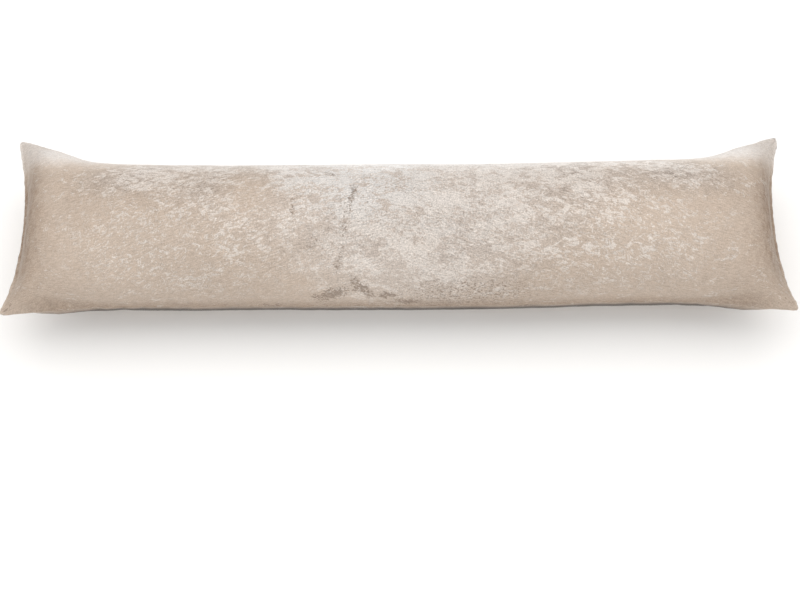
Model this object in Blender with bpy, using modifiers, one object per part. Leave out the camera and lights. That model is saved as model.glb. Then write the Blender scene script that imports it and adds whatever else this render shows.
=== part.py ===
"""A king-size bed bolster: two equal velvet panels sewn edge to edge and stuffed.

It lies on its back on a flat surface, front panel up. X runs along the bolster, Y runs from the near
long seam to the far one, and Z is up. The origin is on the surface, under the middle of the box.
All sizes are in metres.
"""
import math
from collections import namedtuple

import bmesh
import bpy

# Driving dimensions: what the maker cuts, and how the stuffing draws it in
PANEL_LENGTH = 1.52      # each flat panel, seam to seam along the bolster
PANEL_WIDTH = 0.41       # each flat panel, seam to seam across it
LENGTH_TAKE_UP = 0.050   # the corner tips end up this much closer together along X
SPREAD_TAKE_UP = 0.043   # and this much closer together across each end
END_DRAW_IN = 0.027      # the middle of an end seam lies this far inside its corner tips

# How it settles under its own weight
WIDENING = 1.061         # body width, as a share of the round tube that the panels would make
FLATTENING = 0.914       # body height, as a share of the same tube
SEAM_SHARE = 0.475       # the long seams' height, as a share of the body's
CORNER_LIFT = 0.018      # the stiff corner tips stand this much higher than the long seams
BODY_BOW = 0.015         # the heavy middle lies this much nearer than the corner tips' middle
WEIGHT_PRESS = 0.015     # how far the back panel would hang below the surface if it weren't there

# What follows from them
ROUND_BODY = 2 * PANEL_WIDTH / math.pi
BODY_WIDTH = WIDENING * ROUND_BODY
BODY_HEIGHT = FLATTENING * ROUND_BODY
SEAM_HEIGHT = SEAM_SHARE * BODY_HEIGHT
HALF_PANEL = PANEL_LENGTH / 2
TIP_REACH = (PANEL_LENGTH - LENGTH_TAKE_UP) / 2
TIP_SPREAD = PANEL_WIDTH - SPREAD_TAKE_UP

# A ring is a cut across the bolster at a set distance from the end seam, measured on the flat panel.
#   from_end   that distance
#   seam_in    how far the long seam lies inside the corner tip, along X
#   middle_in  how far the panel's middle line lies inside the corner tip, along X
#   flare      the long seam's place across: 0 as wide as the body, 1 as wide as the corner tips
#   rise       how far the panels stand apart: 0 flat, 1 the full body
#   turn       how evenly a panel turns from seam to seam: 0 a broad arch with steep sides, 1 half round
Ring = namedtuple("Ring", "from_end seam_in middle_in flare rise turn")
RINGS = [
    Ring(0.00, 0.000, END_DRAW_IN + 0.000, 1.00, 0.00, 0.0),
    Ring(0.02, 0.019, END_DRAW_IN + 0.004, 0.93, 0.15, 0.1),
    Ring(0.04, 0.037, END_DRAW_IN + 0.011, 0.80, 0.30, 0.2),
    Ring(0.06, 0.054, END_DRAW_IN + 0.020, 0.64, 0.44, 0.3),
    Ring(0.08, 0.071, END_DRAW_IN + 0.031, 0.50, 0.56, 0.4),
    Ring(0.10, 0.089, END_DRAW_IN + 0.044, 0.38, 0.66, 0.5),
    Ring(0.13, 0.117, END_DRAW_IN + 0.066, 0.25, 0.76, 0.7),
    Ring(0.17, 0.156, END_DRAW_IN + 0.101, 0.15, 0.84, 0.9),
    Ring(0.22, 0.204, END_DRAW_IN + 0.149, 0.08, 0.90, 1.0),
    Ring(0.30, 0.283, END_DRAW_IN + 0.228, 0.02, 0.95, 1.0),
    Ring(0.45, 0.431, END_DRAW_IN + 0.377, 0.00, 0.98, 1.0),
    Ring(HALF_PANEL, TIP_REACH, TIP_REACH, 0.00, 1.00, 1.0),
]

# Over a panel, height = (1 - reach ** breadth) ** (1 / fullness), where reach runs from 0 to 1
END_BREADTH, END_FULLNESS = 4.0, 3.2
BODY_BREADTH, BODY_FULLNESS = 2.0, 2.0

# Fineness of the mesh
RINGS_PER_HALF = 34
RING_CROWDING = 1.5      # above 1, rings crowd towards the end, where the shape turns fastest
STRIPS = 22              # faces across each panel

FRONT, BACK = 1, -1


def blend(low, high, share):
    return low + (high - low) * share


def read_rings(from_end):
    """The ring at any distance from the end seam, on a smooth curve through the table's rows."""
    last = len(RINGS) - 1
    start = max(i for i in range(last) if RINGS[i].from_end <= from_end)
    before, here = RINGS[max(start - 1, 0)], RINGS[start]
    there, after = RINGS[start + 1], RINGS[min(start + 2, last)]
    span = there.from_end - here.from_end
    t = (from_end - here.from_end) / span
    values = []
    for column in range(len(Ring._fields)):
        slope_here = (there[column] - before[column]) / (there.from_end - before.from_end)
        slope_there = (after[column] - here[column]) / (after.from_end - here.from_end)
        values.append(
            here[column] * (1 + 2 * t) * (1 - t) ** 2
            + there[column] * (3 - 2 * t) * t ** 2
            + slope_here * span * t * (1 - t) ** 2
            - slope_there * span * t ** 2 * (1 - t)
        )
    return Ring(*values)


def panel_point(from_end, across, side):
    """A point of the right half. Across runs from -1 at the near seam to 1 at the far one."""
    ring = read_rings(from_end)
    reach = blend(across, math.sin(across * math.pi / 2), ring.turn)
    breadth = blend(END_BREADTH, BODY_BREADTH, ring.turn)
    fullness = blend(END_FULLNESS, BODY_FULLNESS, ring.turn)
    arch = max(0.0, 1 - abs(reach) ** breadth) ** (1 / fullness)

    x = TIP_REACH - blend(ring.middle_in, ring.seam_in, across ** 2)
    y = blend(BODY_WIDTH, TIP_SPREAD, ring.flare) / 2 * reach - BODY_BOW * (1 - ring.flare)
    seam = SEAM_HEIGHT + CORNER_LIFT * ring.flare
    if side == FRONT:
        z = seam + (BODY_HEIGHT - SEAM_HEIGHT) * ring.rise * arch
    else:
        z = max(0.0, seam - (SEAM_HEIGHT + WEIGHT_PRESS) * ring.rise * arch)
    return (x, y, z)


def build_half(mesh):
    """Lofts both panels of the right half, which share the end seam and the two long seams."""
    panels = {FRONT: [], BACK: []}
    for i in range(RINGS_PER_HALF + 1):
        from_end = HALF_PANEL * (i / RINGS_PER_HALF) ** RING_CROWDING
        front, back = [], []
        for j in range(STRIPS + 1):
            across = 2 * j / STRIPS - 1
            on_seam = i == 0 or j in (0, STRIPS)
            front.append(mesh.verts.new(panel_point(from_end, across, FRONT)))
            back.append(front[j] if on_seam else mesh.verts.new(panel_point(from_end, across, BACK)))
        panels[FRONT].append(front)
        panels[BACK].append(back)
    for side, rows in panels.items():
        for row, next_row in zip(rows, rows[1:]):
            for j in range(STRIPS):
                corners = (row[j], row[j + 1], next_row[j + 1], next_row[j])
                mesh.faces.new(corners if side == FRONT else corners[::-1])


def make_velvet():
    """Champagne beige crushed velvet."""
    material = bpy.data.materials.new("crushed_velvet")
    material.use_nodes = True
    shader = material.node_tree.nodes["Principled BSDF"]
    shader.inputs["Base Color"].default_value = (0.56, 0.46, 0.38, 1)
    shader.inputs["Roughness"].default_value = 0.85
    shader.inputs["Metallic"].default_value = 0.0
    return material


def make_bolster(collection):
    """The whole filled bolster: one half, mirrored about its middle."""
    half = bmesh.new()
    build_half(half)
    mesh = bpy.data.meshes.new("bolster_cushion")
    half.to_mesh(mesh)
    half.free()
    mesh.materials.append(make_velvet())
    mesh.shade_smooth()
    bolster = bpy.data.objects.new("bolster_cushion", mesh)
    collection.objects.link(bolster)
    mirror = bolster.modifiers.new("other_half", "MIRROR")
    mirror.use_axis = (True, False, False)
    mirror.merge_threshold = 0.0001


def main():
    for leftover in list(bpy.data.objects):
        bpy.data.objects.remove(leftover)
    collection = bpy.data.collections.new("bolster")
    bpy.context.scene.collection.children.link(collection)
    make_bolster(collection)


main()
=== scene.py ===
# %% [markdown]
# # A crushed velvet bolster
#
# A bolster is the simplest cushion there is: two long rectangles of cloth, sewn edge to edge and
# stuffed until they turn into a fat tube with four stiff corners. The filling decides its shape, so
# this lesson builds it in the same order as a maker does. It cuts two flat panels, lays them out where
# the stuffing will push them, lets Blender's cloth solver find how the cloth hangs between the seams,
# and then finishes the seams and the velvet.
#
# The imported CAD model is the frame. It says how long, wide and high the stuffed bolster is.

# %% Load the frame
import math

import bpy
import numpy as np
from mathutils import Euler, Matrix, Vector


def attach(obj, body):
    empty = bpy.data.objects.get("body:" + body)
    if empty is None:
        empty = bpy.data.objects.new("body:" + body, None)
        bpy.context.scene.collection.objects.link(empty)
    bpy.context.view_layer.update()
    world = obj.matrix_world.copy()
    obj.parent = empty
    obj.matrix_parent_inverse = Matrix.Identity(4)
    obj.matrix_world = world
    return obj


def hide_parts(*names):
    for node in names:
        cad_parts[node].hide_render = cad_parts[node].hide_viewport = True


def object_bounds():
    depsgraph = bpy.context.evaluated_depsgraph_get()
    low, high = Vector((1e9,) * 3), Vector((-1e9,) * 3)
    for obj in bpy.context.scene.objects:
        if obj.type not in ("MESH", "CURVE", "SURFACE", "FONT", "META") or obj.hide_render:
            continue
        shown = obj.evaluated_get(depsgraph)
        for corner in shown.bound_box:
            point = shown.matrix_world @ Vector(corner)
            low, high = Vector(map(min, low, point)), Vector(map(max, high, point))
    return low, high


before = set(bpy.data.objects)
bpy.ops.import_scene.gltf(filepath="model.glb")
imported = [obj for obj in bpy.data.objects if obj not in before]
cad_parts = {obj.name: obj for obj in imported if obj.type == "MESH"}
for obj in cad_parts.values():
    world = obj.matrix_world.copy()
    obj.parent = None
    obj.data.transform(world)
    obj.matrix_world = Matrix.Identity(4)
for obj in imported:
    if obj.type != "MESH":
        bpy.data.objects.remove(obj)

CAD_LOW, CAD_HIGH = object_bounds()
BODY_HEIGHT = CAD_HIGH.z
TIP_REACH = CAD_HIGH.x
TIP_SPREAD = CAD_HIGH.y - CAD_LOW.y
print("frame:", [round(side, 4) for side in CAD_HIGH - CAD_LOW], "m")

# %% [markdown]
# ## The camera
#
# The photograph looks down on the bolster's front from about 65 degrees above the surface, with a
# short telephoto lens. Both come from the outline. The near long side measures 6% longer than the far
# one, which gives the distance, and the height of the body against the spread of its corners gives the
# angle. The lens points a little in front of the bolster, because the picture leaves room for the
# surface there.

# %% Set up the camera
IMAGE_WIDTH, IMAGE_HEIGHT = 800, 591
BOLSTER_COLUMN, BOLSTER_ROW = 399, 229      # where the middle of the bolster lies in the picture
FOCAL_PIXELS = 1420
SENSOR_WIDTH = 36        # millimetres
VIEW_ELEVATION = math.radians(65)
VIEW_DISTANCE = 2.70
ROLL = math.radians(0.25)                   # the picture is turned this much
TARGET_HEIGHT = 0.11


def make_camera():
    lens = bpy.data.cameras.new("camera")
    lens.sensor_width = SENSOR_WIDTH
    lens.lens = FOCAL_PIXELS / IMAGE_WIDTH * lens.sensor_width
    camera = bpy.data.objects.new("camera", lens)
    bpy.context.scene.collection.objects.link(camera)
    dip = math.atan((IMAGE_HEIGHT / 2 - BOLSTER_ROW) / FOCAL_PIXELS)
    sideways = (IMAGE_WIDTH / 2 - BOLSTER_COLUMN) / FOCAL_PIXELS * VIEW_DISTANCE
    camera.location = (
        sideways,
        -VIEW_DISTANCE * math.cos(VIEW_ELEVATION),
        TARGET_HEIGHT + VIEW_DISTANCE * math.sin(VIEW_ELEVATION),
    )
    tilt = Euler((math.pi / 2 - VIEW_ELEVATION - dip, 0, 0)).to_matrix()
    camera.rotation_euler = (tilt @ Matrix.Rotation(-ROLL, 3, "Z")).to_euler()
    bpy.context.scene.camera = camera
    print("camera at", [round(c, 3) for c in camera.location], "lens", round(lens.lens, 1), "mm")


make_camera()

# %% [markdown]
# ## Where the stuffing pushes the cloth
#
# Both panels are the same flat rectangle. Cutting across the stuffed bolster at a set distance from
# the end seam gives a ring. A short table says how each ring sits, with the same rows as the CAD
# solid has, and a smooth curve runs through the rows. Near an end the panel is a broad low arch with
# steep sides. Two hands' widths further in it is half of a round tube.
#
# The table and its curve could be replaced by a blown-up rectangle, but then nothing would hold the
# result to the sizes that the frame gives.

# %% Describe the rings
PANEL_LENGTH = 1.52      # metres, seam to seam
PANEL_WIDTH = 0.41
END_DRAW_IN = 0.027      # the middle of an end seam lies this far inside its corner tips
WIDENING = 1.061         # body width, as a share of the round tube that the panels would make
SEAM_SHARE = 0.475       # the long seams' height, as a share of the body's
CORNER_LIFT = 0.018      # the stiff corner tips stand this much higher than the long seams
BODY_BOW = 0.015         # the heavy middle lies this much nearer than the corner tips' middle
WEIGHT_PRESS = 0.015     # how far the back panel would hang below the surface if it weren't there
ROUND_BODY = 2 * PANEL_WIDTH / math.pi
BODY_WIDTH = WIDENING * ROUND_BODY
SEAM_HEIGHT = SEAM_SHARE * BODY_HEIGHT

RING_COLUMNS = ("from_end", "seam_in", "middle_in", "flare", "rise", "turn")
RINGS = np.array([
    (0.00, 0.000, END_DRAW_IN + 0.000, 1.00, 0.00, 0.0),
    (0.02, 0.019, END_DRAW_IN + 0.004, 0.93, 0.15, 0.1),
    (0.04, 0.037, END_DRAW_IN + 0.011, 0.82, 0.30, 0.2),
    (0.06, 0.054, END_DRAW_IN + 0.020, 0.68, 0.44, 0.3),
    (0.08, 0.071, END_DRAW_IN + 0.031, 0.55, 0.56, 0.4),
    (0.10, 0.089, END_DRAW_IN + 0.044, 0.43, 0.66, 0.5),
    (0.13, 0.117, END_DRAW_IN + 0.066, 0.28, 0.76, 0.7),
    (0.17, 0.156, END_DRAW_IN + 0.101, 0.15, 0.84, 0.9),
    (0.22, 0.204, END_DRAW_IN + 0.149, 0.08, 0.90, 1.0),
    (0.30, 0.283, END_DRAW_IN + 0.228, 0.02, 0.95, 1.0),
    (0.45, 0.431, END_DRAW_IN + 0.377, 0.00, 0.98, 1.0),
    (PANEL_LENGTH / 2, TIP_REACH, TIP_REACH, 0.00, 1.00, 1.0),
])
print("table of", len(RINGS), "rings, body", round(BODY_WIDTH, 3), "m wide")


def read_ring(name, from_end):
    """One column of the table at any distance from the end seam, on a smooth curve."""
    rows = RINGS[:, 0]
    values = RINGS[:, RING_COLUMNS.index(name)]
    slopes = np.gradient(values, rows)
    k = np.clip(np.searchsorted(rows, from_end, side="right") - 1, 0, len(rows) - 2)
    span = rows[k + 1] - rows[k]
    t = (from_end - rows[k]) / span
    return (
        values[k] * (1 + 2 * t) * (1 - t) ** 2
        + values[k + 1] * (3 - 2 * t) * t ** 2
        + slopes[k] * span * t * (1 - t) ** 2
        - slopes[k + 1] * span * t ** 2 * (1 - t)
    )


def blend(low, high, share):
    return low + (high - low) * share


# %% [markdown]
# ## How it has settled
#
# A ring of the table becomes an arch above the seams and another below them. A real bolster is never
# quite regular, so the same function also adds what handling does. This one is bent a few millimetres
# towards its right end. It has rolled a little towards the viewer, so its near seam lies lower and the
# cloth below that seam is fuller. Its two far points droop, and its far shoulders are a bit plumper.

# %% Find the place of each point
END_BREADTH, END_FULLNESS = 4.0, 3.2        # near an end a panel is a broad arch with steep sides
BODY_BREADTH, BODY_FULLNESS = 2.0, 2.0      # and in the body it is half of a circle
BEND, BEND_PLACE, BEND_LENGTH = 0.006, 0.47, 0.20
NEAR_SAG = 0.018         # the near seam has rolled down this much
NEAR_OUT = 0.003         # and out this much
NEAR_BELLY = 0.4         # and the cloth below it bulges this much fuller
FAR_TIP_DROP, FAR_TIP_IN, FAR_TIP_LENGTH = 0.006, 0.003, 0.05
FAR_SHOULDER, SHOULDER_PLACE, SHOULDER_LENGTH = 0.004, 0.12, 0.05


def stuffed_place(along, across, side):
    """Where the stuffing pushes a point of a flat panel; side is 1 for the front, -1 for the back."""
    from_end = PANEL_LENGTH / 2 - np.abs(along)
    ring = {name: read_ring(name, from_end) for name in RING_COLUMNS[1:]}
    share = across / (PANEL_WIDTH / 2)
    reach = blend(share, np.sin(share * math.pi / 2), ring["turn"])
    breadth = blend(END_BREADTH, BODY_BREADTH, ring["turn"])
    fullness = blend(END_FULLNESS, BODY_FULLNESS, ring["turn"])
    near = np.maximum(0, -reach)
    if side < 0:
        fullness = fullness + NEAR_BELLY * near * (1 - ring["flare"])
    arch = np.maximum(0, 1 - np.abs(reach) ** breadth) ** (1 / fullness)
    far_tip = np.maximum(0, share) ** 4 * np.exp(-from_end / FAR_TIP_LENGTH)
    x = TIP_REACH - blend(ring["middle_in"], ring["seam_in"], share ** 2) - FAR_TIP_IN * far_tip
    x = np.sign(along) * x
    y = blend(BODY_WIDTH, TIP_SPREAD, ring["flare"]) / 2 * reach - BODY_BOW * (1 - ring["flare"])
    y = y + BEND * np.exp(-((x - BEND_PLACE) / BEND_LENGTH) ** 2) - FAR_TIP_DROP * far_tip
    y = y - NEAR_OUT * near ** 2 * (1 - ring["flare"])
    shoulder = np.exp(-((from_end - SHOULDER_PLACE) / SHOULDER_LENGTH) ** 2)
    y = y + FAR_SHOULDER * np.maximum(0, share) ** 2 * shoulder
    sag = NEAR_SAG * near ** 2 * (1 - ring["flare"])
    seam = SEAM_HEIGHT + CORNER_LIFT * ring["flare"] - sag
    front = seam + (BODY_HEIGHT - SEAM_HEIGHT) * ring["rise"] * arch
    back = np.maximum(0, seam - (SEAM_HEIGHT + WEIGHT_PRESS) * ring["rise"] * arch)
    return np.stack([x, y, front if side > 0 else back], axis=-1)


print("crown of the front:", stuffed_place(np.array([0.1]), np.array([0.0]), 1).round(3)[0], "m")

# %% [markdown]
# ## The panels
#
# Velvet is cut flat, so the mesh keeps that fact: every point knows where it lies on the flat cloth.
# Those flat places are also the UV map, because a pattern that is pressed into the pile follows the
# cloth and not the room. The two panels share the points of their edges, which is what a seam is. The
# cells by a seam are a quarter as long as those in the middle of a panel, because the shape turns
# fastest there. The four points come out blunt, as they do when a maker snips the corners and turns
# them out with a thumb.

# %% Space the points
CELLS_ALONG, CELLS_ACROSS = 216, 52
EDGE_CROWDING = 0.62     # the cells by a seam are this share smaller than the average
CLOTH_METRES = 1.6       # one unit of the UV map is this much cloth
BACK_PANEL_V = 0.5       # the back panel is cut from the other half of the cloth
NEAR_TIP_CUT, FAR_TIP_CUT = 0.008, 0.010    # the points are blunt over this much of each seam
TIP_SQUEEZE = 0.8        # how far the cloth of a point is turned in


def crowded(cells, size):
    """Places from -size/2 to size/2, closer together near both ends."""
    t = np.linspace(0, 1, cells + 1)
    return size * (t - EDGE_CROWDING * np.sin(2 * math.pi * t) / (2 * math.pi) - 0.5)


def turn_in_tips(flat):
    """Draws the four points of the flat rectangle in, so that they come out blunt."""
    gap = np.array([PANEL_LENGTH, PANEL_WIDTH]) / 2 - np.abs(flat)
    cut = np.where(flat[:, 1] > 0, FAR_TIP_CUT, NEAR_TIP_CUT)
    short = np.maximum(0, cut - gap.sum(axis=1))[:, None]
    return flat - np.sign(flat) * short * TIP_SQUEEZE / 2


print("cells:", CELLS_ALONG, "along and", CELLS_ACROSS, "across")


# %% Number the points
def share_edges(rows, columns):
    """Two grids of point numbers, front and back, that are the same along all four seams."""
    front = np.arange(rows * columns).reshape(rows, columns)
    inner = front[1:-1, 1:-1]
    back = front.copy()
    back[1:-1, 1:-1] = front.size + np.arange(inner.size).reshape(inner.shape)
    return front, back


def panel_faces(grid, is_back):
    """The four corners of each cell, in the order that turns its normal outward."""
    quads = np.stack([grid[:-1, :-1], grid[1:, :-1], grid[1:, 1:], grid[:-1, 1:]], axis=-1)
    quads = quads.reshape(-1, 4)
    return quads[:, ::-1] if is_back else quads


panel_grids = share_edges(CELLS_ALONG + 1, CELLS_ACROSS + 1)
print("points:", panel_grids[0].size, "on the front and", panel_grids[1].max() + 1, "in all")


# %% Sew the panels
def sew_panels(front, back):
    """One closed mesh of two panels that share their edge points, and its flat coordinates."""
    along, across = np.meshgrid(
        crowded(CELLS_ALONG, PANEL_LENGTH), crowded(CELLS_ACROSS, PANEL_WIDTH), indexing="ij"
    )
    inner = front[1:-1, 1:-1].ravel()
    flat = np.stack([along.ravel(), across.ravel()], axis=-1)
    flat = np.concatenate([flat, flat[inner]])
    side = np.zeros(len(flat))
    side[inner] = 1
    side[front.size:] = -1
    blunt = turn_in_tips(flat)
    places = np.where(
        side[:, None] >= 0,
        stuffed_place(blunt[:, 0], blunt[:, 1], 1),
        stuffed_place(blunt[:, 0], blunt[:, 1], -1),
    )
    faces = np.concatenate([panel_faces(front, False), panel_faces(back, True)])
    mesh = bpy.data.meshes.new("bolster")
    mesh.from_pydata(places.tolist(), [], faces.tolist())
    uv = (flat[faces.ravel()] + (PANEL_LENGTH / 2, PANEL_WIDTH / 2)) / CLOTH_METRES
    uv[len(uv) // 2:, 1] += BACK_PANEL_V
    mesh.uv_layers.new(name="cloth").data.foreach_set("uv", uv.ravel())
    cut = mesh.attributes.new("flat", "FLOAT_VECTOR", "POINT")
    cut.data.foreach_set("vector", np.column_stack([flat, side]).ravel())
    mesh.shade_smooth()
    bolster = bpy.data.objects.new("bolster", mesh)
    bpy.context.scene.collection.objects.link(bolster)
    return bolster, flat


bolster, flat_cloth = sew_panels(*panel_grids)
print("panels:", len(bolster.data.vertices), "points,", len(bolster.data.polygons), "faces")

# %% [markdown]
# ## The stuffing
#
# Blender's Cloth can inflate a flat pillow from nothing, but a long one bounces, rolls and takes
# hundreds of frames to settle. It is quicker to start from the shape that the table gives and to tell
# the solver, with a rest shape key, that the cloth was cut flat. Pressure then swells each panel as
# far as its threads allow, and the cloth pulls in where it was stretched. The part that lies on the
# surface is pinned, gravity is off, and a soft limit keeps every point within 12 millimetres of where
# the table puts it.

# %% Choose the cloth
PRESSURE = 3.0
CLOTH_MASS = 2.0
THREAD_STIFFNESS, SHEAR_STIFFNESS, BENDING_STIFFNESS = 40, 12, 0.5
DAMPING, AIR_DAMPING = 5, 1
SOLVER_STEPS = 6         # in each frame


def vertex_places(mesh):
    places = np.empty(len(mesh.vertices) * 3)
    mesh.vertices.foreach_get("co", places)
    return places.reshape(-1, 3)


def add_flat_key(cushion, flat):
    """Tells the solver what the threads were cut to, beside the shape that it starts from."""
    cushion.shape_key_add(name="stuffed")
    flat_key = cushion.shape_key_add(name="flat")
    flat_places = np.column_stack([flat, np.full(len(flat), SEAM_HEIGHT)])
    flat_key.data.foreach_set("co", flat_places.ravel())
    flat_key.value = 0
    return flat_key


def add_cloth(cushion, flat):
    flat_key = add_flat_key(cushion, flat)
    cloth = cushion.modifiers.new("cloth", "CLOTH")
    settings = cloth.settings
    settings.rest_shape_key = flat_key
    settings.vertex_group_mass = "resting"
    settings.quality = SOLVER_STEPS
    settings.mass = CLOTH_MASS / len(flat)
    settings.tension_stiffness = settings.compression_stiffness = THREAD_STIFFNESS
    settings.shear_stiffness = SHEAR_STIFFNESS
    settings.bending_stiffness = BENDING_STIFFNESS
    settings.tension_damping = settings.compression_damping = settings.shear_damping = DAMPING
    settings.air_damping = AIR_DAMPING
    settings.use_pressure = True
    settings.uniform_pressure_force = PRESSURE
    settings.effector_weights.gravity = 0
    cloth.collision_settings.use_collision = False
    return cloth


print("cloth:", CLOTH_MASS, "kg, stiffness", THREAD_STIFFNESS, "and pressure", PRESSURE)

# %% Stuff it
FRAMES = 24
MAX_MOVE = 0.012         # metres
ON_THE_SURFACE = 0.0005  # points below this height are pinned


def stuff(cushion, flat):
    start = vertex_places(cushion.data)
    resting = cushion.vertex_groups.new(name="resting")
    resting.add(np.nonzero(start[:, 2] < ON_THE_SURFACE)[0].tolist(), 1.0, "REPLACE")
    cloth = add_cloth(cushion, flat)
    scene = bpy.context.scene
    scene.frame_start, scene.frame_end = 1, FRAMES
    cloth.point_cache.frame_end = FRAMES
    for frame_number in range(1, FRAMES + 1):
        scene.frame_set(frame_number)
    solved = cushion.evaluated_get(bpy.context.evaluated_depsgraph_get())
    settled = vertex_places(solved.data)
    cushion.modifiers.remove(cloth)
    cushion.shape_key_clear()
    cushion.vertex_groups.clear()
    moved = settled - start
    distance = np.linalg.norm(moved, axis=1, keepdims=True)
    mean, most = round(float(distance.mean()), 4), round(float(distance.max()), 4)
    print("the cloth moved", mean, "m, at most", most)
    capped = start + moved * MAX_MOVE / np.sqrt(MAX_MOVE ** 2 + distance ** 2)
    cushion.data.vertices.foreach_set("co", capped.ravel())
    cushion.data.update()


stuff(bolster, flat_cloth)

# %% [markdown]
# ## The seam's edge
#
# Inside a turned seam lie the cut edges of both panels, which press the cloth into a thin stiff lip
# a few millimetres wide. A subdivided tube has no such lip, so it is put in here: close to the seam,
# the front and back points of the same place on the cloth move towards each other, and the lip stands
# a little proud. It shows most on the ends, where the stuffing doesn't reach the seam.

# %% Press the seam
LIP_WIDTH = 0.006
LIP_PINCH = 0.75         # share of the thickness that the lip loses
LIP_STAND_ENDS = 0.0065  # how far it stands out in the middle of an end
LIP_STAND_TIPS = 0.0015  # and at the four points
LIP_STAND_SIDES = 0.0015


def press_seams(cushion, flat, grids):
    """Thins the skin close to the seams, and pulls it out a little there."""
    places = vertex_places(cushion.data)
    front, back = (grid.ravel() for grid in grids)
    middle = (places[front] + places[back]) / 2
    gap_end, gap_side = (np.array([PANEL_LENGTH, PANEL_WIDTH]) / 2 - np.abs(flat[front])).T
    gap = np.minimum(gap_end, gap_side)
    pinch = 1 - LIP_PINCH * np.exp(-(gap / LIP_WIDTH) ** 2)
    places[front] = middle + (places[front] - middle) * pinch[:, None]
    places[back] = middle + (places[back] - middle) * pinch[:, None]
    outward = np.zeros_like(middle)
    stand_end = blend(LIP_STAND_ENDS, LIP_STAND_TIPS, (flat[front, 1] * 2 / PANEL_WIDTH) ** 2)
    outward[:, 0] = np.sign(flat[front, 0]) * stand_end * np.exp(-(gap_end / LIP_WIDTH) ** 2)
    outward[:, 1] = np.sign(flat[front, 1]) * LIP_STAND_SIDES * np.exp(-(gap_side / LIP_WIDTH) ** 2)
    stand = np.zeros_like(places)
    stand[front] = outward
    stand[back] = outward
    places += stand
    cushion.data.vertices.foreach_set("co", places.ravel())
    cushion.data.update()


press_seams(bolster, flat_cloth, panel_grids)
print("seam lip:", LIP_WIDTH * 1000, "mm wide")

# %% [markdown]
# ## Wires between nodes
#
# The gathers and the velvet are both worked out by nodes. Wired by hand, a formula of six terms takes
# a dozen lines of links. This small class wraps a socket, so that Python's own operators add the Math
# nodes, and one method adds any other node.

# %% A socket that does sums
def sum_node(operation, swapped=False):
    """The method behind one operator."""
    def act(self, other):
        pair = (other, self) if swapped else (self, other)
        inputs = dict(enumerate(pair))
        return Wire.node(self.socket.id_data, "ShaderNodeMath", {"operation": operation}, inputs)
    return act


class Wire:
    """An output socket that takes part in Python expressions."""

    def __init__(self, socket):
        self.socket = socket

    @staticmethod
    def node(tree, kind, settings, inputs, output=0):
        """Adds any node: its settings first, then the values or wires of its sockets."""
        made = tree.nodes.new(kind)
        for name, value in settings.items():
            setattr(made, name, value)
        for name, value in inputs.items():
            socket = made.inputs[name]
            if isinstance(value, Wire):
                tree.links.new(value.socket, socket)
            else:
                socket.default_value = value
        return Wire(made.outputs[output])

    def math(self, operation, *others):
        """A Math node that has no operator of its own, such as the sine."""
        inputs = dict(enumerate((self, *others)))
        return Wire.node(self.socket.id_data, "ShaderNodeMath", {"operation": operation}, inputs)

    def part(self, name):
        """One coordinate of a vector: X, Y or Z."""
        return Wire.node(self.socket.id_data, "ShaderNodeSeparateXYZ", {}, {0: self}, name)

    def vector(self, operation, *others):
        """A Vector Math node, which works on all three coordinates or colour channels."""
        inputs = dict(enumerate((self, *others)))
        return Wire.node(self.socket.id_data, "ShaderNodeVectorMath", {"operation": operation}, inputs)

    def kept(self, low, high):
        return self.math("MAXIMUM", low).math("MINIMUM", high)

    def step(self, low, high):
        """0 below low, 1 above high, and a soft rise between them."""
        settings = {"interpolation_type": "SMOOTHSTEP"}
        inputs = {"Value": self, "From Min": low, "From Max": high}
        return Wire.node(self.socket.id_data, "ShaderNodeMapRange", settings, inputs)

    __add__ = __radd__ = sum_node("ADD")
    __sub__ = sum_node("SUBTRACT")
    __rsub__ = sum_node("SUBTRACT", swapped=True)
    __mul__ = __rmul__ = sum_node("MULTIPLY")
    __truediv__ = sum_node("DIVIDE")
    __rpow__ = sum_node("POWER", swapped=True)
    __pow__ = sum_node("POWER")

    def __neg__(self):
        return 0 - self

    def __abs__(self):
        return self.math("ABSOLUTE")


print("one Math node for each of + - * / ** and abs()")

# %% [markdown]
# ## Gathers, folds and lumps
#
# A flat panel that is blown into a tube has too much edge, and the spare length gathers into small
# puckers that run away from the seam. At a corner they fan out from the point. The stuffing itself is
# never even, so the whole skin rises and falls by a millimetre or so.
#
# All of that follows the cloth's own coordinates, which is work for Geometry Nodes. The tree
# subdivides the panels, moves every point along its normal, keeps the part that rests on the surface
# flat, and sets the velvet. The result is turned into a plain mesh.

# %% Name the tree's inputs
GATHER_INPUTS = (
    ("Spacing", "NodeSocketFloat", 0.021),      # from one pucker to the next
    ("Depth", "NodeSocketFloat", 0.0030),
    ("Reach", "NodeSocketFloat", 0.030),        # how far puckers run into the panel
    ("Fold Depth", "NodeSocketFloat", 0.0045),
    ("Fold Reach", "NodeSocketFloat", 0.075),
    ("Lump Depth", "NodeSocketFloat", 0.0022),
    ("Seed", "NodeSocketFloat", 4.0),
    ("Velvet", "NodeSocketMaterial", None),
)
END_RUN = 7.0            # a pucker of an end seam is this many times as long as it is wide
SIDE_SPREAD, SIDE_RUN = 1.4, 6.0            # those of the long seams are wider
SIDE_SHARE = 0.80        # and shallower
END_SHIFT, SIDE_SHIFT, FOLD_SHIFT = 1.7, 1.7, 2.0    # the two panels read different noise
SIDE_START = 9.0         # and so do the end seams and the long ones
FAN_FOLDS, FOLD_RUN = 3.6, 5.0              # per radian round a point, and per metre away from it
LEFT_RIGHT_START, NEAR_FAR_START = 5.0, 11.0         # each of the four points has its own folds
LUMPS_PER_METRE, LUMP_DETAIL = (7.0, 9.0, 9.0), 4.0
FREE_ABOVE = 0.03        # metres; below this height the surface holds the cloth down
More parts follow.
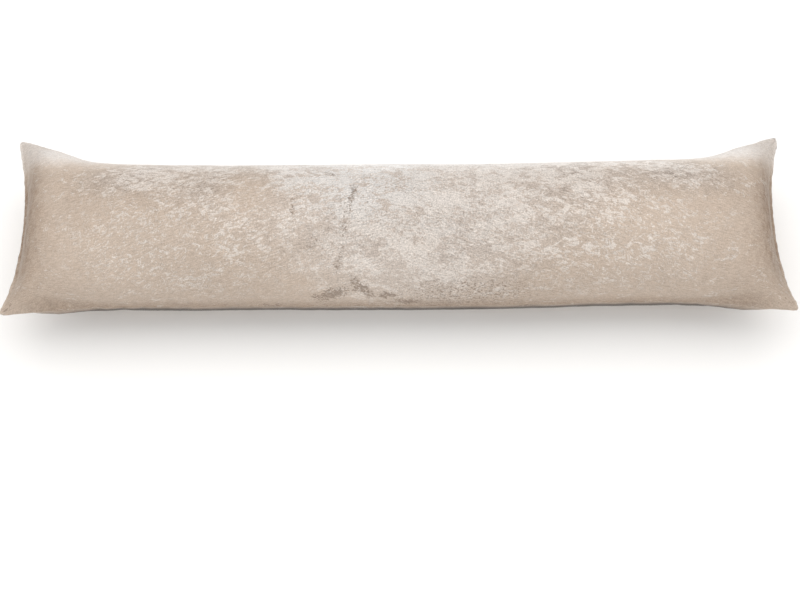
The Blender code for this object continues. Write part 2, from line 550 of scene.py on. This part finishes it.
print("gathers:", len(GATHER_INPUTS), "named inputs")


# %% Build the tree
def gather_tree():
    tree = bpy.data.node_groups.new("gathers", "GeometryNodeTree")
    tree.interface.new_socket("Geometry", in_out="INPUT", socket_type="NodeSocketGeometry")
    for name, kind, _ in GATHER_INPUTS:
        tree.interface.new_socket(name, in_out="INPUT", socket_type=kind)
    tree.interface.new_socket("Geometry", in_out="OUTPUT", socket_type="NodeSocketGeometry")
    given_node = tree.nodes.new("NodeGroupInput")
    given = {name: Wire(given_node.outputs[name]) for name, _, _ in GATHER_INPUTS}

    def node(kind, settings, inputs, output=0):
        return Wire.node(tree, kind, settings, inputs, output)

    def noise(x, y, z, detail=1.0):
        spot = node("ShaderNodeCombineXYZ", {}, {0: x, 1: y, 2: z})
        cloud = {"Vector": spot, "W": given["Seed"], "Scale": 1.0, "Detail": detail}
        return node("ShaderNodeTexNoise", {"noise_dimensions": "4D"}, cloud) - 0.5

    smooth = node("GeometryNodeSubdivisionSurface", {}, {
        "Mesh": Wire(given_node.outputs["Geometry"]), "Level": 1})
    flat = node("GeometryNodeInputNamedAttribute", {"data_type": "FLOAT_VECTOR"}, {"Name": "flat"})
    along, across, side = (flat.part(name) for name in "XYZ")
    gap_end = PANEL_LENGTH / 2 - abs(along)
    gap_side = PANEL_WIDTH / 2 - abs(across)

    spacing, reach = given["Spacing"], given["Reach"]
    run = across / spacing
    away = along / (spacing * END_RUN)
    end_gathers = noise(away, run, side * END_SHIFT) * math.e ** (-gap_end / reach)
    run = along / (spacing * SIDE_SPREAD)
    away = across / (spacing * SIDE_RUN)
    side_gathers = noise(run, away, side * SIDE_SHIFT + SIDE_START)
    side_gathers = side_gathers * math.e ** (-gap_side / reach) * SIDE_SHARE

    from_tip = (gap_end ** 2 + gap_side ** 2).math("SQRT")
    fan = gap_end.math("ARCTAN2", gap_side) * FAN_FOLDS
    corner = along.math("SIGN") * LEFT_RIGHT_START + across.math("SIGN") * NEAR_FAR_START
    folds = noise(fan, from_tip * FOLD_RUN, side * FOLD_SHIFT + corner)
    folds = folds * math.e ** (-from_tip / given["Fold Reach"])

    place = node("GeometryNodeInputPosition", {}, {})
    x, y, z = (place.part(name) for name in "XYZ")
    spot = [axis * per_metre for axis, per_metre in zip((x, y, z), LUMPS_PER_METRE)]
    lumps = noise(spot[0], spot[1], spot[2] + side, LUMP_DETAIL)

    lift = (end_gathers + side_gathers) * given["Depth"] * 2
    lift = lift + folds * given["Fold Depth"] * 2 + lumps * given["Lump Depth"] * 2
    lift = lift * z.step(0.0, FREE_ABOVE)
    normal = node("GeometryNodeInputNormal", {}, {})
    offset = normal.vector("SCALE")
    tree.links.new(lift.socket, offset.socket.node.inputs["Scale"])
    moved = node("GeometryNodeSetPosition", {}, {"Geometry": smooth, "Offset": offset})
    above = node("ShaderNodeCombineXYZ", {}, {0: x, 1: y, 2: z.math("MAXIMUM", 0.0)})
    kept = node("GeometryNodeSetPosition", {}, {"Geometry": moved, "Position": above})
    real = node("GeometryNodeRealizeInstances", {}, {"Geometry": kept})
    covered = node("GeometryNodeSetMaterial", {}, {"Geometry": real, "Material": given["Velvet"]})
    result = tree.nodes.new("NodeGroupOutput")
    tree.links.new(covered.socket, result.inputs["Geometry"])
    return tree


gathers = gather_tree()
print("gathers:", len(gathers.nodes), "nodes")


# %% Run the tree
def gather(cushion, velvet):
    """Runs the tree on the cushion and keeps the result as its plain mesh."""
    modifier = cushion.modifiers.new("gathers", "NODES")
    modifier.node_group = gathers
    sockets = {item.name: item.identifier for item in modifier.node_group.interface.items_tree}
    for name, _, value in GATHER_INPUTS:
        modifier[sockets[name]] = velvet if value is None else value
    depsgraph = bpy.context.evaluated_depsgraph_get()
    plain = bpy.data.meshes.new_from_object(cushion.evaluated_get(depsgraph))
    cushion.modifiers.remove(modifier)
    cushion.data = plain
    plain.name = "bolster"
    print("gathered:", len(plain.vertices), "points,", len(plain.polygons), "faces")


# %% [markdown]
# ## Crushed velvet
#
# Velvet is a forest of short threads. Where they stand, one looks down between them and the cloth is
# deep and plain. Where they have been crushed flat, their sides catch the light and the cloth looks
# frosted. A dense frost covers the middle of this cushion. Feathery flecks lie on both sides of it, and
# thin wisps trail below them. The far rim and the two far points are palest, with a painted highlight.
# A crease and a few dark marks low on the front are places where folding has parted the pile, and a
# small fold at each near point is painted shade.
#
# The finish is a set of maps, one for each of these. Soft ellipses say how much of a place is crushed,
# has the painted highlight or is parted, and noise says where exactly, so that no fleck is drawn by
# hand.
# The rows below are those ellipses, in metres on the flat panel.

# %% Lay out the crushed areas
AREA_COLUMNS = "along across half_length half_width turn amount"
CRUSHED_AREAS = (
    (0.03, 0.02, 0.42, 0.34, 0, 0.80),         # the frosted middle
    (-0.33, 0.09, 0.32, 0.11, 8, 0.52),        # feathers on the left
    (-0.50, 0.07, 0.16, 0.06, 14, 0.28),
    (-0.34, 0.01, 0.14, 0.06, 0, 0.12),
    (0.38, 0.09, 0.34, 0.11, -8, 0.46),        # and on the right
    (0.52, 0.07, 0.16, 0.06, -14, 0.26),
    (0.36, 0.01, 0.14, 0.06, 0, 0.12),
    (-0.42, -0.09, 0.18, 0.07, 0, 0.15),
    (-0.30, -0.03, 0.16, 0.08, 0, 0.16),
    (0.46, -0.09, 0.18, 0.07, 0, 0.12),
    (0.34, -0.03, 0.16, 0.08, 0, 0.13),
    (-0.26, 0.05, 0.07, 0.10, 0, -0.34),       # places that stayed plain
    (-0.23, -0.16, 0.12, 0.06, 0, -0.60),
    (0.36, -0.15, 0.18, 0.06, 0, -0.50),
)
print("crushed:", len(CRUSHED_AREAS), "areas, each with", AREA_COLUMNS)

# %% Lay out the wisps, the painted highlight and the parted pile
WISPY_AREAS = (
    (-0.40, -0.04, 0.28, 0.18, 0, 1.0),        # thin wisps below the feathers
    (0.39, -0.04, 0.24, 0.18, 0, 0.9),
    (0.00, -0.10, 0.80, 0.16, 0, 0.5),
)
# a painted highlight along the far rim and on the far points
RIM_HIGHLIGHT_AREAS = (
    (-0.67, 0.200, 0.24, 0.115, 0, 0.78),      # painted highlight on the far points, which catch the most light
    (0.67, 0.200, 0.24, 0.115, 0, 0.75),
    (0.00, 0.140, 1.10, 0.065, 0, 0.38),       # painted highlight on the rim
)
# parted pile, and painted shade in a small fold at each near point
PARTED_AND_FOLD_SHADE_AREAS = (
    (-0.078, 0.020, 0.050, 0.010, 74, 1.40),   # a crease across the front
    (-0.092, -0.040, 0.048, 0.009, 82, 1.00),
    (-0.104, -0.094, 0.038, 0.010, 70, 1.15),
    (-0.177, -0.005, 0.044, 0.008, 88, 0.95),  # fainter ones beside it
    (-0.147, -0.062, 0.044, 0.009, 52, 0.95),
    (-0.118, 0.075, 0.026, 0.014, -40, 0.9),
    (-0.137, -0.170, 0.052, 0.024, 4, 1.45),   # dark marks low on the front
    (-0.106, -0.154, 0.036, 0.022, 12, 1.25),
    (-0.068, -0.146, 0.048, 0.019, -56, 1.45),
    (-0.022, -0.168, 0.030, 0.012, 0, 1.3),
    (0.013, -0.189, 0.036, 0.013, -5, 1.35),
    (-0.240, -0.200, 0.036, 0.012, 0, 1.2),
    (0.12, -0.160, 0.26, 0.070, 0, 0.95),      # specks along the lower middle
    (0.741, -0.190, 0.020, 0.005, -40, 1.3),   # painted shade of a small fold at each near point
    (-0.741, -0.190, 0.020, 0.005, 40, 1.3),
    (-0.14, 0.03, 0.06, 0.10, 0, 0.40),
)
print("wispy, brushed and parted:", [len(areas) for areas in (WISPY_AREAS, RIM_HIGHLIGHT_AREAS, PARTED_AND_FOLD_SHADE_AREAS)])

# %% [markdown]
# ## Painted light and shade
#
# These areas paint light and shade into the colour, on a larger scale than the flecks. Painted shade
# makes the steep ends deep in tone, and a painted highlight makes the rim and shoulders light. Smaller
# shares lighten or darken the tone elsewhere. A second short list makes the frost of the middle
# greyer. These areas change the colour by a share, so the flecks keep their contrast.

# %% Lay out the painted light and shade
# painted shade on the steep ends and a painted highlight on the rim, with small changes of tone
# elsewhere
PAINTED_LIGHT_SHADE_AND_TONE_AREAS = (
    (-0.740, 0.05, 0.120, 0.22, 0, -0.22),     # painted shade on the steep ends
    (-0.700, 0.09, 0.050, 0.11, 0, -0.08),
    (-0.740, -0.05, 0.150, 0.16, 0, -0.24),
    (-0.765, 0.02, 0.050, 0.18, 0, -0.12),
    (0.740, 0.05, 0.120, 0.22, 0, -0.26),
    (0.705, 0.07, 0.050, 0.13, 0, -0.07),
    (0.740, -0.05, 0.140, 0.16, 0, -0.22),
    (0.765, 0.02, 0.050, 0.18, 0, -0.10),
    (0.67, 0.185, 0.22, 0.11, 0, 0.05),        # painted highlight on the far point on the right
    (0.00, 0.125, 1.30, 0.070, 0, 0.19),       # painted highlight on the rim
    (-0.03, 0.125, 0.12, 0.065, 0, 0.08),
    (0.48, 0.125, 0.26, 0.065, 0, 0.15),
    (-0.70, -0.15, 0.12, 0.10, 0, -0.07),      # the near points
    (0.70, -0.15, 0.14, 0.12, 0, -0.06),
    (0.62, -0.04, 0.14, 0.16, 0, -0.06),
    (0.06, 0.00, 0.26, 0.18, 0, -0.04),
    (-0.02, -0.13, 0.30, 0.09, 0, 0.07),       # the lower middle
    (-0.60, -0.02, 0.14, 0.16, 0, -0.04),
    (-0.43, -0.08, 0.22, 0.11, 0, 0.02),       # below the feathers
    (0.44, -0.08, 0.22, 0.11, 0, 0.02),
    (-0.40, 0.07, 0.34, 0.12, 6, -0.06),       # the ground between the feathers
    (0.40, 0.07, 0.34, 0.12, -6, -0.04),
)
COOL_AREAS = (
    (-0.08, 0.06, 0.20, 0.12, 0, 1.8),         # greyer frost at the far middle
    (0.02, 0.03, 0.36, 0.16, 0, 0.7),
)
print("tones:", len(PAINTED_LIGHT_SHADE_AND_TONE_AREAS), "areas, and", len(COOL_AREAS), "greyer ones")

# %% [markdown]
# ## A pattern that sticks to the cloth
#
# The maps are read on the flat panels, in metres from the middle of a panel, because a mark in the
# pile stretches and turns with its cloth. Three helpers are enough. One adds up soft ellipses, one
# gives noise with so many features a metre each way, and one leans the noise one way on the left half
# and the other way on the right, as a hand strokes a long cushion. Noise also pushes the edges of the
# ellipses about, so that they don't look drawn.

# %% Read the cloth's own coordinates
velvet = bpy.data.materials.new("crushed_velvet")
velvet.use_nodes = True


def velvet_node(kind, settings, inputs, output=0):
    return Wire.node(velvet.node_tree, kind, settings, inputs, output)


cut_corner = (-PANEL_LENGTH / 2, -PANEL_WIDTH / 2, 0)
cloth = velvet_node("ShaderNodeUVMap", {"uv_map": "cloth"}, {})
cloth = cloth.vector("MULTIPLY_ADD", (CLOTH_METRES,) * 3, cut_corner)
along = cloth.part("X")
on_back = cloth.part("Y").math("GREATER_THAN", PANEL_WIDTH)
across = cloth.part("Y") - on_back * (BACK_PANEL_V * CLOTH_METRES)
print("coordinates:", len(velvet.node_tree.nodes), "nodes")


# %% Lay ellipses and noise on the cloth
FULL_INSIDE = 0.8        # an area has its full amount from here to its middle; 0 is its edge


def laid(areas):
    """The sum of soft ellipses on the cloth."""
    total = 0.0
    for x, y, half_length, half_width, turn, weight in areas:
        inputs = {
            "Vector": ragged,
            "Location": (x, y, 0),
            "Rotation": (0, 0, math.radians(turn)),
            "Scale": (half_length, half_width, 1),
        }
        spot = velvet_node("ShaderNodeMapping", {"vector_type": "TEXTURE"}, inputs)
        settings = {"gradient_type": "SPHERICAL"}
        ball = velvet_node("ShaderNodeTexGradient", settings, {"Vector": spot}, "Fac")
        total = ball.step(0.0, FULL_INSIDE) * weight + total
    return total


def nap(turn, per_metre, start, detail, roughness=0.5, distortion=0.0):
    """Noise, from about -0.5 to 0.5, with so many features a metre along and across, turned."""
    inputs = {"Vector": cloth, "Rotation": (0, 0, math.radians(-turn))}
    turned = velvet_node("ShaderNodeMapping", {"vector_type": "POINT"}, inputs)
    spot = turned.vector("MULTIPLY_ADD", (*per_metre, 1), (start, -start, 0))
    cloud = {"Vector": spot, "Scale": 1.0, "Detail": detail}
    cloud.update({"Roughness": roughness, "Distortion": distortion})
    return velvet_node("ShaderNodeTexNoise", {"noise_dimensions": "2D"}, cloud) - 0.5


HALVES_MEET = 0.05       # metres on each side of the middle
RIGHT_START = 4.6        # moves the noise on from one half to the other


def leaning(turn, per_metre, start, detail, roughness=0.5, distortion=0.0):
    """Nap that leans one way on the left half and the other way on the right."""
    left = nap(turn, per_metre, start, detail, roughness, distortion)
    right = nap(-turn, per_metre, start + RIGHT_START, detail, roughness, distortion)
    return blend(left, right, along.step(-HALVES_MEET, HALVES_MEET))


WOBBLE = 0.022           # metres; how far noise pushes the edges of the areas about
ALONG_WOBBLE = (0, (50, 60), 2.7, 3, 0.6)
ACROSS_WOBBLE = (0, (60, 50), 4.9, 3, 0.6)
facing = velvet_node("ShaderNodeCombineXYZ", {}, {0: along * (1 - on_back * 2), 1: across})
wobble = {0: nap(*ALONG_WOBBLE) * WOBBLE, 1: nap(*ACROSS_WOBBLE) * WOBBLE}
ragged = facing.vector("ADD", velvet_node("ShaderNodeCombineXYZ", {}, wobble))
print("areas' edges are pushed about by up to", WOBBLE / 2, "m")

# %% [markdown]
# ## Crushed pile, painted highlight and parted pile
#
# Five sizes of noise add up to one score, from patches as wide as a hand to specks of a few threads.
# The amount that was laid out for a place lifts its score. Where the score is above zero the pile is
# crushed, and where it is far below it lies in a hollow. Wisps need another shape. They follow the
# thin lines along which one more noise crosses zero, which run and fork as creases in pile do.

# %% Score the crushed pile
# Each noise is turn, features per metre along and across, start, detail, roughness, distortion
FEATHERS = (20, (62, 200), 3.1, 4, 0.66, 1.0)
SPECKS = (0, (230, 270), 1.3, 3, 0.75)
CLUSTERS = (0, (42, 66), 4.4, 4, 0.60, 1.0)
DRIFTS = (12, (20, 38), 6.1, 3, 0.55, 1.2)
PATCHES = (0, (15, 24), 7.7, 2, 0.5)
FEATHER_WEIGHTS = (1.20, 0.50)              # away from the middle of the bolster, and in it
SPECK_WEIGHTS = (0.45, 0.70)
CLUSTER_WEIGHTS = (1.05, 0.65)
DRIFT_WEIGHTS = (0.60, 0.0)
PATCH_WEIGHT = 0.45
AMOUNT_WEIGHT = 0.42
SCORE_DROP = 0.25        # what keeps plain places below zero
MIDDLE_ENDS = (0.12, 0.32)                  # metres from the middle of the bolster

amount = laid(CRUSHED_AREAS).kept(0.0, 1.0)
middle = 1 - abs(along).step(*MIDDLE_ENDS)
feathers, specks = leaning(*FEATHERS), nap(*SPECKS)
clusters, drifts, patches = nap(*CLUSTERS), nap(*DRIFTS), nap(*PATCHES)
score = feathers * blend(*FEATHER_WEIGHTS, middle) + specks * blend(*SPECK_WEIGHTS, middle)
score = score + clusters * blend(*CLUSTER_WEIGHTS, middle) + drifts * blend(*DRIFT_WEIGHTS, middle)
score = score + patches * PATCH_WEIGHT + amount * AMOUNT_WEIGHT - SCORE_DROP
print("score:", len(velvet.node_tree.nodes), "nodes so far")

# %% Crush and hollow the pile, and paint the highlight
CRUSHED_EDGE = (-0.01, 0.07)
CRUSHED_MOST, CRUSHED_GAIN = (0.68, 0.58), 0.30      # where little is crushed, and what a lot adds
HOLLOW_EDGE = (-0.26, -0.02)
HOLLOW_GAIN, HOLLOW_LOSS = 1.6, 0.2         # hollows need an amount, and are all there at 0.75
WISPS = (34, (32, 66), 5.5, 3, 0.55, 1.8)
WISP_WIDTH = 0.06        # in noise, not in metres
WISP_CLUMPS = (-0.10, 0.06)
WISP_SPECKS, RIM_HIGHLIGHT_SPECKS = 0.8, 1.2      # how much specks break them up

crushed = score.step(*CRUSHED_EDGE) * (amount * CRUSHED_GAIN + blend(*CRUSHED_MOST, middle))
hollows = (1 - score.step(*HOLLOW_EDGE)) * (amount * HOLLOW_GAIN - HOLLOW_LOSS).kept(0.0, 1.0)
wisps = (1 - abs(leaning(*WISPS)).step(0.0, WISP_WIDTH)) * laid(WISPY_AREAS).kept(0.0, 1.0)
wisps = wisps * (clusters + specks * WISP_SPECKS).step(*WISP_CLUMPS)
crushed = crushed.math("MAXIMUM", wisps)
# painted highlight on the far rim and far points, broken up by specks
painted_rim_highlight = (laid(RIM_HIGHLIGHT_AREAS) * (1 + specks * RIM_HIGHLIGHT_SPECKS)).kept(0.0, 1.0)
print("crushed pile:", len(velvet.node_tree.nodes), "nodes so far")

# %% Part the pile, and paint the shade of the small folds
CRUMBS = (0, (170, 240), 6.6, 4, 0.70, 0.2)
CRUMB_WEIGHT, CRUMB_SPECKS, CREASE_WEIGHT = 1.5, 0.9, 0.26
PARTED_EDGE = (-0.03, 0.18)
PITS = (0, (240, 290), 9.1, 2, 0.6)
PIT_EDGE = (0.0, 0.20)
PIT_GAIN, PIT_LOSS = 1.1, 0.1               # pits need an amount too, and are all there at 1

# parted pile, and painted shade in the small folds at the near points
creased = laid(PARTED_AND_FOLD_SHADE_AREAS)
parted_and_fold_shade = nap(*CRUMBS) * CRUMB_WEIGHT + specks * CRUMB_SPECKS + (creased - 1) * CREASE_WEIGHT
parted_and_fold_shade = parted_and_fold_shade.step(*PARTED_EDGE) * creased.kept(0.0, 1.0)
pits = nap(*PITS).step(*PIT_EDGE) * (amount * PIT_GAIN - PIT_LOSS).kept(0.0, 1.0)
print("parted pile:", len(velvet.node_tree.nodes), "nodes so far")

# %% [markdown]
# ## Colour
#
# Five tones are mixed in turn, each by its own map: plain, dulled, crushed, a painted highlight, and
# parted pile, which also carries a painted fold shade. Then the mixture is multiplied by a shade close
# to 1, which carries the fine grain, the strands, the hollows and the laid-out painted light, shade and
# tone. Colour is multiplied a little more in blue than in red when it lightens, so that painted light
# turns greyer and painted shade browner.
#
# The seams finish it with painted shade. It darkens the pile beside a long seam, and it is darkest
# just below the near one, as a painted shadow where the bolster meets the surface. A painted light
# makes the edge of each end seam pale.

# %% Mix the five tones
PLAIN_PILE = (0.488, 0.398, 0.325, 1)
DULLED_PILE = (0.507, 0.438, 0.386, 1)
CRUSHED_PILE = (0.640, 0.580, 0.526, 1)
# the colour of the painted highlight
RIM_HIGHLIGHT_PILE = (0.685, 0.643, 0.608, 1)
# the colour of parted pile and of the painted fold shade
PARTED_PILE_AND_FOLD_SHADE = (0.24, 0.185, 0.145, 1)
DULLED_AMOUNTS = (0.14, 0.88)               # plain pile is all dulled at the second amount
MOST_PARTED = 0.85


def mixed(low, high, share):
    return velvet_node("ShaderNodeMix", {"data_type": "RGBA"}, {"Factor": share, 6: low, 7: high}, 2)


colour = mixed(PLAIN_PILE, DULLED_PILE, amount.step(*DULLED_AMOUNTS))
colour = mixed(colour, CRUSHED_PILE, crushed)
# mixes in the painted highlight of the rim
colour = mixed(colour, RIM_HIGHLIGHT_PILE, painted_rim_highlight)
# parted pile, with the painted shade of the small folds
colour = mixed(colour, PARTED_PILE_AND_FOLD_SHADE, parted_and_fold_shade * MOST_PARTED)
print("tones:", len(velvet.node_tree.nodes), "nodes so far")

# %% Shade the pile
GRAIN = (0, (380, 430), 5.2, 2, 0.8)
STRANDS = (14, (70, 400), 8.2, 3, 0.7)
SLOW_TONE = (0, (5, 8), 9.3, 5, 0.55)
GRAIN_SHADES, STRAND_SHADES = (0.60, 1.20), (0.60, 0.90)    # on plain pile, and where all is crushed
HOLLOW_SHADES = (0.26, 0.10)                # away from the middle of the bolster, and in it
SLOW_SHADE, PATCH_SHADE, PIT_SHADE = 0.20, 0.08, 0.16

grain, strands = nap(*GRAIN), leaning(*STRANDS)
shade = 1 + grain * blend(*GRAIN_SHADES, amount) + strands * blend(*STRAND_SHADES, amount)
shade = shade + nap(*SLOW_TONE) * SLOW_SHADE + patches * middle * PATCH_SHADE
shade = shade - hollows * blend(*HOLLOW_SHADES, middle) - pits * PIT_SHADE
print("shade:", len(velvet.node_tree.nodes), "nodes so far")

# %% Paint shade by the seams, and light on the ends' edges
SEAM_SHADE, SEAM_REACH = 0.24, 0.034        # painted shade beside a long seam, and how far from it
SEAM_SHADE_STARTS = (0.03, 0.12)            # metres from the end seam
NEAR_SHADE = 0.87        # painted shade: share of its colour that the pile under the near seam loses
NEAR_SHADE_FULL, NEAR_SHADE_FADES, NEAR_SHADE_ENDS = 0.020, 0.036, 0.120
NEAR_SHADE_STARTS = (0.02, 0.09)
NEAR_HALF = (0.0, 0.06)  # metres from the middle of the back panel towards the near seam
# painted light on the edge of each end seam: how wide it is, and how much it lightens
END_EDGE_LIGHT_WIDTH, END_EDGE_LIGHT_SHARE = 0.008, 0.20

seam_gap = PANEL_WIDTH / 2 - abs(across)
end_gap = PANEL_LENGTH / 2 - abs(along)
# painted shade beside the long seams, fading in away from the ends
painted_seam_shade = (1 - seam_gap.step(0.0, SEAM_REACH)) * end_gap.step(*SEAM_SHADE_STARTS) * SEAM_SHADE
# painted shade under the near seam: a painted shadow where the bolster meets the surface
painted_near_shade = seam_gap.step(0.0, NEAR_SHADE_FULL) * (1 - seam_gap.step(NEAR_SHADE_FADES, NEAR_SHADE_ENDS))
painted_near_shade = painted_near_shade * on_back * (-across).step(*NEAR_HALF) * end_gap.step(*NEAR_SHADE_STARTS) * NEAR_SHADE
# painted light along the edge of each end seam
painted_end_edge_light = (1 - end_gap.step(0.0, END_EDGE_LIGHT_WIDTH)) * END_EDGE_LIGHT_SHARE
print("seams:", len(velvet.node_tree.nodes), "nodes so far")

# %% Paint light and shade into the colour
BLOTCHES = (0, (60, 50), 3.9, 5, 0.7, 0.4)
TINGE = (0, (26, 34), 2.2, 3, 0.6)
DARKEST_TONE = -0.44
BLOTCHY = 1.7            # how much blotches break up the tones
BACK_TONE_LOSS = 0.6     # the hidden panel is more even
COOL_SHARE, TINGE_SHARE, COOL_GREEN = 0.05, 0.06, 0.5
GREEN_GAIN, BLUE_GAIN = 1.16, 1.30          # lighter pile is greyer, darker pile is browner

# painted light and shade from the areas, less the painted seam shade, plus the painted light on the
# ends' edges
light = laid(PAINTED_LIGHT_SHADE_AND_TONE_AREAS).math("MAXIMUM", DARKEST_TONE) * (1 + nap(*BLOTCHES) * BLOTCHY)
light = light * (1 - on_back * BACK_TONE_LOSS) - painted_seam_shade + painted_end_edge_light
cool = laid(COOL_AREAS) * crushed * COOL_SHARE + nap(*TINGE) * TINGE_SHARE
red = shade + light
green = shade + light * GREEN_GAIN + cool * COOL_GREEN
blue = shade + light * BLUE_GAIN + cool
# the painted shade under the near seam darkens all three channels alike
tint = {axis: value * (1 - painted_near_shade) for axis, value in enumerate((red, green, blue))}
colour = colour.vector("MULTIPLY", velvet_node("ShaderNodeCombineXYZ", {}, tint))
print("coloured pile:", len(velvet.node_tree.nodes), "nodes so far")

# %% [markdown]
# ## Sheen
#
# Only what varies over the cloth comes through a link: its colour, its roughness and the small bumps
# of the grain. The rest is the same all over and is set on the sockets. Velvet has hardly any shine
# straight on, and a sheen that glows where it turns away, so the specular level is low.

# %% Fill the shader's sockets
PILE_ROUGHNESS = (0.82, 0.57)               # plain, and where it is crushed
PILE_HEIGHT = 0.0006     # metres
BUMP_STRENGTH = 0.6
SHEEN = {
    "Specular IOR Level": 0.25,
    "Sheen Weight": 0.25,
    "Sheen Roughness": 0.35,
    "Sheen Tint": (1.0, 0.96, 0.92, 1),
}

height = (grain + crushed) * 0.5            # crushed pile as high as the grain's full range
bumps = {"Strength": BUMP_STRENGTH, "Distance": PILE_HEIGHT, "Height": height}
linked = {
    "Base Color": colour,
    "Roughness": blend(*PILE_ROUGHNESS, crushed),
    "Normal": velvet_node("ShaderNodeBump", {}, bumps, "Normal"),
}
shader = velvet.node_tree.nodes["Principled BSDF"]
for name, wire in linked.items():
    velvet.node_tree.links.new(wire.socket, shader.inputs[name])
for name, value in SHEEN.items():
    shader.inputs[name].default_value = value
print("velvet:", len(velvet.node_tree.nodes), "nodes")

# %% Gather the bolster
gather(bolster, velvet)

# %% [markdown]
# ## Floor and light
#
# The floor is plain and nearly white, a touch warm, so that it sends light back up under the bolster
# and the shadow on it stays pale. The light is a wide, even tent with one softbox in it. The softbox
# hangs a little behind the bolster and draws a pale rim along its far side. The tent is dim near the
# horizon, so that the steep ends read darker than the front, except low in front, so that the shadow
# under the near seam stays open.

# %% Lay the floor
FLOOR_REACH = 30         # metres each way
FLOOR_WHITE = (0.97, 0.96, 0.945, 1)
FLOOR_ROUGHNESS = 0.6


def make_floor():
    mesh = bpy.data.meshes.new("floor")
    corners = [(x * FLOOR_REACH, y * FLOOR_REACH, 0) for x, y in ((-1, -1), (1, -1), (1, 1), (-1, 1))]
    mesh.from_pydata(corners, [], [(0, 1, 2, 3)])
    floor = bpy.data.objects.new("floor", mesh)
    bpy.context.scene.collection.objects.link(floor)
    paint = bpy.data.materials.new("white_floor")
    paint.use_nodes = True
    shader = paint.node_tree.nodes["Principled BSDF"]
    shader.inputs["Base Color"].default_value = FLOOR_WHITE
    shader.inputs["Roughness"].default_value = FLOOR_ROUGHNESS
    mesh.materials.append(paint)


make_floor()
print("floor:", 2 * FLOOR_REACH, "m wide, colour", FLOOR_WHITE[:3])

# %% Hang the lights
SKY_LOW, SKY_TOP = 0.30, 1.00               # strength of the tent at the horizon and overhead
SKY_RISE = 0.55          # height on the tent, as a share, from which it is all bright
SKY_FRONT = 0.70         # what is added low in front
OVERHEAD_PLACE, OVERHEAD_AIM = (0, 0.5, 2.3), (0, 0, 0.1)
OVERHEAD_SIZE = (3.0, 1.8)
OVERHEAD_POWER = 21


def add_softbox(name, place, aim, size, power):
    light = bpy.data.lights.new(name, "AREA")
    light.shape = "RECTANGLE"
    light.size, light.size_y = size
    light.energy = power
    box = bpy.data.objects.new(name, light)
    bpy.context.scene.collection.objects.link(box)
    box.location = place
    box.rotation_euler = (Vector(aim) - Vector(place)).to_track_quat("-Z", "Y").to_euler()
    box.visible_camera = False


def make_tent():
    world = bpy.data.worlds.new("tent")
    world.use_nodes = True
    tree = world.node_tree
    background = tree.nodes["Background"]
    background.inputs["Color"].default_value = (1, 1, 1, 1)
    direction = Wire.node(tree, "ShaderNodeTexCoord", {}, {}, "Generated")
    low = 1 - direction.part("Z").step(0.0, SKY_RISE)
    front = (-direction.part("Y")).step(0.0, 1.0)
    strength = SKY_TOP - low * (SKY_TOP - SKY_LOW) + low * front * SKY_FRONT
    tree.links.new(strength.socket, background.inputs["Strength"])
    bpy.context.scene.world = world


add_softbox("overhead", OVERHEAD_PLACE, OVERHEAD_AIM, OVERHEAD_SIZE, OVERHEAD_POWER)
make_tent()
bpy.context.scene.view_settings.view_transform = "Standard"
print("softbox:", OVERHEAD_POWER, "W, tent from", SKY_LOW, "to", SKY_TOP)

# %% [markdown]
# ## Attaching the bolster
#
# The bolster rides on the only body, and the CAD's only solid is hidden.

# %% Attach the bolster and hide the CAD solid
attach(bolster, "root")
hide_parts("bolster_cushion")
print("bolster:", len(bolster.data.polygons), "faces")
